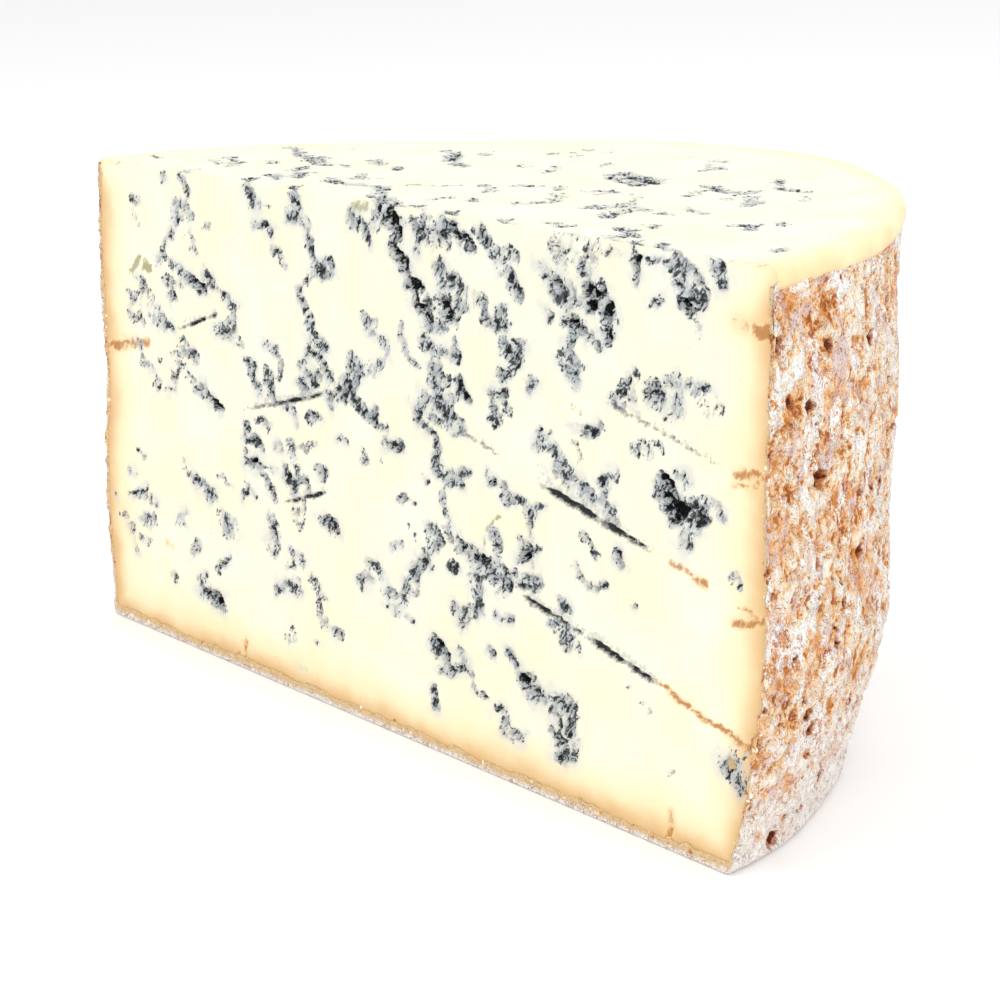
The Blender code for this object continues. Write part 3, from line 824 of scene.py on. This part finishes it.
    whole = {name: np.concatenate(parts) for name, parts in fields.items()}
    return make_piece("cheese_rind", surface.points(), surface.faces, whole)


CRUMBS = 520
CRUMB_SIZES = (0.25, 0.75)
FOOT_LEFT = 3.0 - float(outer_radius(np.array(math.pi), np.array(0.0)))
FOOT_RIGHT = float(outer_radius(np.array(0.0), np.array(0.0))) - 3.0


def crumb_places(rng):
    """Middles of the crumbs, most of them on the rind's edge round the upright cut."""
    places = []
    for _ in range(CRUMBS):
        where = rng.random()
        clump = 0.5 + 0.5 * math.sin(1.7 * len(places)) * rng.random()
        if where < 0.62:
            x = rng.uniform(FOOT_LEFT, FOOT_RIGHT)
            places.append((x, 0.55 + 0.5 * rng.random(), 0.9 + 1.6 * clump * rng.random()))
            continue
        z = rng.uniform(3.0, HEIGHT - 5.0)
        turn = 0.0 if where < 0.88 else math.pi
        reach = float(outer_radius(np.array(turn), np.array(z))) - 1.0 - 0.9 * rng.random()
        places.append((reach * math.cos(turn), 0.55 + 0.6 * rng.random(), z))
    return np.array(places)


def build_crumbs():
    """Small lumps of rind left on the edges by the knife, joined into one piece."""
    rng = np.random.default_rng(23)
    bm = bmesh.new()
    bmesh.ops.create_icosphere(bm, subdivisions=1, radius=1.0)
    lump = np.array([vert.co[:] for vert in bm.verts])
    corners = np.array([[vert.index for vert in face.verts] for face in bm.faces])
    bm.free()
    points = []
    faces = []
    tones = []
    for place in crumb_places(rng):
        size = CRUMB_SIZES[0] + (CRUMB_SIZES[1] - CRUMB_SIZES[0]) * rng.random() ** 2
        shape = lump * size * rng.uniform(0.6, 1.1, 3)
        shape = shape * (0.8 + 0.4 * rng.random(len(lump)))[:, None]
        faces.extend((corners + len(lump) * len(points)).tolist())
        points.append(shape + place)
        tones.append(np.full(len(lump), rng.random()))
    points = np.concatenate(points)
    points[:, 1] = np.maximum(points[:, 1], 0.02)
    points[:, 2] = np.maximum(points[:, 2], 0.05)
    return make_piece("cheese_crumbs", points, faces, {"tone": np.concatenate(tones)})


# ---------------------------------------------------------------- materials

class Nodes:
    """Short ways to add nodes to a material."""

    def __init__(self, name):
        self.material = bpy.data.materials.new(name)
        self.material.use_nodes = True
        self.tree = self.material.node_tree
        self.shader = self.tree.nodes["Principled BSDF"]
        self.place = self.tree.nodes.new("ShaderNodeTexCoord").outputs["Object"]

    def link(self, source, target):
        self.tree.links.new(source, target)

    def put(self, value, socket):
        if isinstance(value, bpy.types.NodeSocket):
            self.link(value, socket)
        else:
            socket.default_value = value

    def field(self, name):
        node = self.tree.nodes.new("ShaderNodeAttribute")
        node.attribute_name = name
        return node.outputs["Fac"]

    def noise(self, size_mm, detail=3.0, rough=0.55, warp=0.0, stretch=None, slant=0.0):
        """Noise with lumps about size_mm across, drawn out by stretch after a slant about Y."""
        node = self.tree.nodes.new("ShaderNodeTexNoise")
        node.inputs["Scale"].default_value = 1.0 / (size_mm * MM)
        node.inputs["Detail"].default_value = detail
        node.inputs["Roughness"].default_value = rough
        node.inputs["Distortion"].default_value = warp
        place = self.place
        if stretch:
            mapping = self.tree.nodes.new("ShaderNodeMapping")
            mapping.inputs["Scale"].default_value = stretch
            turned = self.tree.nodes.new("ShaderNodeVectorRotate")
            turned.rotation_type = "Y_AXIS"
            turned.inputs["Angle"].default_value = math.radians(slant)
            self.link(self.place, turned.inputs["Vector"])
            self.link(turned.outputs["Vector"], mapping.inputs["Vector"])
            place = mapping.outputs["Vector"]
        self.link(place, node.inputs["Vector"])
        return node.outputs["Fac"]

    def centred(self, value):
        """Noise moved to run about evenly below and above zero."""
        return self.math("SUBTRACT", value, 0.5)

    def math(self, operation, a, b=0.0, clamp=False):
        node = self.tree.nodes.new("ShaderNodeMath")
        node.operation = operation
        node.use_clamp = clamp
        self.put(a, node.inputs[0])
        self.put(b, node.inputs[1])
        return node.outputs[0]

    def add(self, first, second):
        return self.math("ADD", first, second)

    def times(self, first, second):
        return self.math("MULTIPLY", first, second)

    def range(self, value, low, high, to_low=0.0, to_high=1.0):
        node = self.tree.nodes.new("ShaderNodeMapRange")
        node.interpolation_type = "SMOOTHSTEP"
        self.put(value, node.inputs["Value"])
        for name, number in zip(("From Min", "From Max", "To Min", "To Max"), (low, high, to_low, to_high)):
            node.inputs[name].default_value = number
        return node.outputs["Result"]

    def mix(self, share, a, b):
        node = self.tree.nodes.new("ShaderNodeMix")
        node.data_type = "RGBA"
        self.put(share, node.inputs["Factor"])
        self.put(a, node.inputs["A"])
        self.put(b, node.inputs["B"])
        return node.outputs["Result"]

    def ramp(self, value, stops):
        node = self.tree.nodes.new("ShaderNodeValToRGB")
        self.put(value, node.inputs["Fac"])
        ramp = node.color_ramp
        while len(ramp.elements) < len(stops):
            ramp.elements.new(0.5)
        for element, (position, colour) in zip(ramp.elements, stops):
            element.position = position
            element.color = colour
        return node.outputs["Color"]

    def bump(self, height, distance_mm, strength=1.0, normal=None):
        node = self.tree.nodes.new("ShaderNodeBump")
        node.inputs["Strength"].default_value = strength
        node.inputs["Distance"].default_value = distance_mm * MM
        self.link(height, node.inputs["Height"])
        if normal is not None:
            self.link(normal, node.inputs["Normal"])
        return node.outputs["Normal"]


def srgb(red, green, blue):
    """A colour given as 0 to 255 display values, as the shader's linear values."""
    shares = [value / 255.0 for value in (red, green, blue)]
    linear = [s / 12.92 if s <= 0.04045 else ((s + 0.055) / 1.055) ** 2.4 for s in shares]
    return (*linear, 1.0)


VEIN_STRETCH = (1.0, 1.0, 0.5)
VEIN_SLANT = -28.0
CREAM = srgb(249, 241, 208)
PALE_CREAM = srgb(252, 246, 222)
STRAW = srgb(248, 228, 182)
# Ochre of the paste at the rind: its own tint, darkened with painted shade along the rind's edge.
OCHRE_AND_RIM_SHADE = srgb(222, 180, 126)


def paste_material():
    n = Nodes("cheese_paste")
    mould = n.field("mould")
    fine = n.centred(n.noise(1.25, 2.5, 0.6, 0.7, VEIN_STRETCH, VEIN_SLANT))
    finer = n.centred(n.noise(0.6, 1.5, 0.5))
    speck = n.add(fine, n.times(finer, 0.4))

    # Clean paste: near white cream in the middle, straw to ochre under the rind. The ochre next to the
    # rind's edge is partly the paste's own tint and partly painted shade where the cut face bends.
    clean = n.ramp(n.noise(16.0, 2.0, 0.5), [(0.35, CREAM), (0.65, PALE_CREAM)])
    near = n.add(n.field("near_rind"), n.times(n.centred(n.noise(9.0, 3.0, 0.5)), 5.0))
    straw = n.mix(n.range(near, 2.5, 14.0, 1.0, 0.0), clean, STRAW)
    ochre_and_rim_shade = n.mix(n.range(near, 0.6, 7.0, 1.0, 0.0), straw, OCHRE_AND_RIM_SHADE)

    # Stains where air came in.
    stain = n.add(n.field("stain"), n.times(speck, 0.8))
    stained = n.field("stain")
    pink = n.mix(n.range(stained, 0.02, 0.6, 0.0, 0.6), ochre_and_rim_shade, srgb(243, 204, 150))
    brown_share = n.times(n.range(stain, 0.38, 0.75, 0.0, 0.9), n.range(stained, 0.1, 0.4))
    brown = n.mix(brown_share, pink, srgb(182, 122, 62))
    olive_share = n.range(n.add(n.field("olive"), speck), 0.15, 0.6, 0.0, 0.8)
    olive_gate = n.range(n.field("olive"), 0.0, 0.15)
    olive = n.mix(n.times(olive_share, olive_gate), brown, srgb(146, 140, 84))

    # Mould: a pale haze, then broken threads and kernels from grey to near black, and bare crumbs.
    # The near black of the strongest veins and of the crevices is dark mould with painted shade of their
    # hollows.
    cloud = n.add(n.field("halo"), n.centred(n.noise(3.0, 3.0, 0.6)))
    haze = n.times(n.range(cloud, 0.10, 0.75, 0.0, 0.65), n.range(n.field("halo"), 0.0, 0.3))
    hazy = n.mix(haze, olive, srgb(206, 210, 210))
    gate = n.range(mould, 0.01, 0.2)
    thread = n.centred(n.noise(2.1, 2.0, 0.5, 0.9, VEIN_STRETCH, VEIN_SLANT))
    thread = n.times(n.math("ABSOLUTE", thread), -8.0)
    thread = n.math("MAXIMUM", n.add(thread, 1.0), 0.0)
    body = n.add(n.times(mould, 0.85), n.times(n.times(speck, 1.6), gate))
    grain = n.add(n.times(speck, 2.0), n.times(thread, 0.42))
    strength = n.add(n.times(mould, 0.56), n.times(grain, gate))
    pale = n.mix(n.range(body, 0.10, 0.42, 0.0, 0.85), hazy, srgb(190, 196, 201))
    grey = n.mix(n.range(body, 0.42, 0.75, 0.0, 0.85), pale, srgb(152, 158, 160))
    slate = n.mix(n.range(strength, 0.50, 0.70, 0.0, 0.95), grey, srgb(70, 76, 77))
    # Painted shade: the near black of the strongest veins and crevices is partly dark mould, partly shade in
    # their hollows.
    dark = n.mix(n.range(strength, 0.76, 0.96), slate, srgb(24, 27, 27))
    crevice = n.add(n.field("crevice"), n.times(speck, 1.8))
    crevice_mould_and_shade = n.mix(n.range(crevice, 0.45, 0.75), dark, srgb(10, 12, 13))
    slit_at = n.add(n.field("slit"), n.times(speck, 0.9))
    slit_share = n.times(n.range(slit_at, 0.05, 0.40, 0.0, 0.85), n.range(n.field("slit"), 0.0, 0.15))
    slit = n.mix(slit_share, crevice_mould_and_shade, srgb(134, 139, 140))
    slit = n.mix(n.range(slit_at, 0.36, 0.56), slit, srgb(34, 36, 36))
    lit = n.add(n.field("crumbs"), n.times(speck, 3.2))
    lit = n.times(n.range(lit, 0.30, 0.75, 0.0, 0.85), n.range(n.field("crumbs"), 0.0, 0.2))
    crumbed = n.mix(lit, slit, srgb(208, 208, 200))
    n.link(crumbed, n.shader.inputs["Base Color"])

    n.link(n.range(body, 0.2, 0.7, 0.50, 0.85), n.shader.inputs["Roughness"])
    n.shader.inputs["Specular IOR Level"].default_value = 0.3
    n.shader.inputs["Subsurface Weight"].default_value = 0.12
    n.shader.inputs["Subsurface Radius"].default_value = (1.0, 0.7, 0.4)
    n.shader.inputs["Subsurface Scale"].default_value = 1.5 * MM
    skin = n.bump(n.noise(0.7, 3.0, 0.6), 0.06, 0.5)
    relief = n.times(fine, n.range(mould, 0.05, 0.4))
    n.link(n.bump(relief, 1.6, 1.0, skin), n.shader.inputs["Normal"])
    return n.material


def rind_material():
    n = Nodes("cheese_rind")
    tall = (1.0, 1.0, 0.6)
    broad = n.times(n.centred(n.noise(14.0, 3.0, 0.55, 0.4)), 1.5)
    patch = n.centred(n.noise(3.8, 4.0, 0.62, 0.6, tall))
    middle = n.centred(n.noise(1.9, 4.0, 0.66, 0.5, tall))
    fine = n.centred(n.noise(0.8, 3.0, 0.65))
    finer = n.centred(n.noise(0.45, 2.0, 0.6))
    crust = n.field("crust")

    # Dry skin: orange and tan in the hollows of the crust, peach and cream on what stands out.
    tone = n.add(n.times(crust, 0.7), n.times(middle, 2.6))
    tone = n.add(tone, n.times(fine, 1.6))
    skin = n.ramp(n.range(tone, -0.35, 1.0), [
        (0.0, srgb(172, 92, 44)), (0.13, srgb(222, 150, 90)), (0.30, srgb(246, 194, 138)),
        (0.50, srgb(254, 222, 182)), (0.70, srgb(255, 240, 216)), (1.0, srgb(255, 250, 240))])
    orange_at = n.add(broad, patch)
    orange = n.mix(n.range(orange_at, 0.02, 0.20, 0.0, 0.55), skin, srgb(240, 168, 98))
    rusty_at = n.add(orange_at, n.times(fine, 1.2))
    rusty = n.mix(n.range(rusty_at, 0.22, 0.38, 0.0, 0.75), orange, srgb(206, 122, 60))

    # Mauve grey mould, then white powder in patches, and all over near the foot.
    mauve_at = n.add(n.centred(n.noise(4.5, 3.0, 0.6, 0.3, tall)), n.times(fine, 0.7))
    mauve = n.mix(n.range(mauve_at, 0.02, 0.15, 0.0, 0.8), rusty, srgb(230, 210, 212))
    powder_at = n.add(n.centred(n.noise(6.5, 4.0, 0.66, 0.5, tall)), n.times(finer, 0.4))
    powder_at = n.add(powder_at, n.times(n.math("SUBTRACT", tone, 0.4), 0.10))
    powder = n.mix(n.range(powder_at, 0.03, 0.10, 0.0, 0.95), mauve, srgb(255, 254, 251))
    separate = n.tree.nodes.new("ShaderNodeSeparateXYZ")
    n.link(n.place, separate.inputs["Vector"])
    low_at = n.add(separate.outputs["Z"], n.times(patch, 0.08))
    low_at = n.math("SUBTRACT", low_at, n.times(tone, 0.008))
    foot = n.mix(n.range(low_at, 0.002, 0.026, 0.85, 0.0), powder, srgb(253, 248, 243))
    spot_at = n.add(middle, n.times(finer, 0.5))
    spots = n.mix(n.range(spot_at, 0.14, 0.24, 0.0, 0.4), foot, srgb(206, 186, 184))

    # Holes and cracks are red-brown and dark.
    pit_at = n.add(n.field("pit"), n.times(fine, 1.4))
    pit_gate = n.range(n.field("pit"), 0.02, 0.2)
    rust_share = n.times(n.range(pit_at, 0.15, 0.45, 0.0, 0.85), pit_gate)
    rust = n.mix(rust_share, spots, srgb(190, 108, 60))
    hole = n.mix(n.times(n.range(pit_at, 0.50, 0.85), pit_gate), rust, srgb(92, 36, 20))
    crack = n.math("ABSOLUTE", n.centred(n.noise(3.4, 4.0, 0.65, 0.8, tall)))
    crack = n.add(crack, n.times(finer, 0.05))
    cracked = n.mix(n.range(crack, 0.003, 0.016, 0.7, 0.0), hole, srgb(168, 100, 60))

    # Where the cut shows the rind's edge, it runs into the ochre of the paste.
    inner = n.add(n.field("inner"), n.times(fine, 0.9))
    edge_share = n.times(n.range(inner, 0.15, 0.6), n.range(n.field("inner"), 0.0, 0.1))
    edge = n.mix(edge_share, cracked, srgb(240, 208, 160))
    n.link(edge, n.shader.inputs["Base Color"])
    n.shader.inputs["Roughness"].default_value = 0.9
    n.shader.inputs["Specular IOR Level"].default_value = 0.15
    rough = n.bump(n.add(middle, n.times(fine, 0.6)), 2.2, 0.8)
    n.link(n.bump(finer, 0.5, 0.7, rough), n.shader.inputs["Normal"])
    return n.material


def crumb_material():
    n = Nodes("cheese_crumbs")
    tone = n.add(n.field("tone"), n.centred(n.noise(0.8, 2.0, 0.6)))
    colour = n.ramp(tone, [(0.1, srgb(186, 120, 70)), (0.35, srgb(226, 176, 124)),
                           (0.6, srgb(246, 218, 176)), (0.9, srgb(255, 246, 228))])
    n.link(colour, n.shader.inputs["Base Color"])
    n.shader.inputs["Roughness"].default_value = 0.9
    n.shader.inputs["Specular IOR Level"].default_value = 0.15
    n.link(n.bump(n.noise(0.4, 2.0, 0.6), 0.2, 0.7), n.shader.inputs["Normal"])
    return n.material


def plain_material(name, colour, roughness):
    n = Nodes(name)
    n.shader.inputs["Base Color"].default_value = colour
    n.shader.inputs["Roughness"].default_value = roughness
    n.shader.inputs["Specular IOR Level"].default_value = 0.1
    return n.material


# ---------------------------------------------------------------- floor, lights and camera

def build_floor():
    mesh = bpy.data.meshes.new("floor")
    bm = bmesh.new()
    bmesh.ops.create_grid(bm, x_segments=1, y_segments=1, size=4.0)
    bm.to_mesh(mesh)
    bm.free()
    floor = bpy.data.objects.new("floor", mesh)
    floor.location.z = LOW.z - 0.0002
    bpy.context.scene.collection.objects.link(floor)
    mesh.materials.append(plain_material("pale_floor", srgb(250, 250, 250), 0.9))


def area_light(name, place, size, power):
    """A soft box that looks at the middle of the cheese."""
    light = bpy.data.lights.new(name, "AREA")
    light.shape = "SQUARE"
    light.size = size
    light.energy = power
    holder = bpy.data.objects.new(name, light)
    holder.location = place
    holder.rotation_euler = (Vector((0.0, 0.0, 0.06)) - Vector(place)).to_track_quat("-Z", "Y").to_euler()
    bpy.context.scene.collection.objects.link(holder)


def build_lights():
    area_light("key", (-0.35, -1.0, 1.1), 0.9, 2.2)
    area_light("side", (1.2, -0.35, 0.7), 0.9, 6.0)
    area_light("above", (0.0, 0.2, 1.4), 1.2, 3.4)
    world = bpy.data.worlds.new("studio")
    world.use_nodes = True
    world.node_tree.nodes["Background"].inputs["Color"].default_value = (1.0, 1.0, 1.0, 1.0)
    world.node_tree.nodes["Background"].inputs["Strength"].default_value = 0.95
    bpy.context.scene.world = world


CAMERA_PLACE = (321.8, -263.5, 179.1)   # millimetres, on the wheel's axis
CAMERA_TURN = -47.7                     # degrees from +Y
CAMERA_DOWN = 17.16
CAMERA_ROLL = -1.57
CAMERA_LENS = 77.5                      # on a 36 mm sensor


def build_camera():
    turn = math.radians(CAMERA_TURN)
    down = math.radians(CAMERA_DOWN)
    roll = math.radians(CAMERA_ROLL)
    ahead = Vector((math.sin(turn) * math.cos(down), math.cos(turn) * math.cos(down), -math.sin(down)))
    right = Vector((math.cos(turn), -math.sin(turn), 0.0))
    up = right.cross(ahead)
    rolled_right = math.cos(roll) * right + math.sin(roll) * up
    rolled_up = -math.sin(roll) * right + math.cos(roll) * up
    data = bpy.data.cameras.new("camera")
    data.lens = CAMERA_LENS
    data.sensor_width = 36.0
    data.clip_start = 0.01
    camera = bpy.data.objects.new("camera", data)
    turned = Matrix((rolled_right, rolled_up, -ahead)).transposed().to_4x4()
    place = (Vector(CAMERA_PLACE) + Vector(AXIS)) * MM
    camera.matrix_world = Matrix.Translation(place) @ turned
    bpy.context.scene.collection.objects.link(camera)
    bpy.context.scene.camera = camera


# ---------------------------------------------------------------- the scene

def main():
    paste = build_paste()
    paste.data.materials.append(paste_material())
    rind = build_rind()
    rind.data.materials.append(rind_material())
    crumbs = build_crumbs()
    crumbs.data.materials.append(crumb_material())
    for piece, slot in ((paste, "cheese_paste"), (rind, "cheese_rind"), (crumbs, "cheese_rind")):
        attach(piece, "root")
        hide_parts(NODE)
    build_floor()
    build_lights()
    build_camera()
    bpy.context.scene.view_settings.view_transform = "Standard"


main()
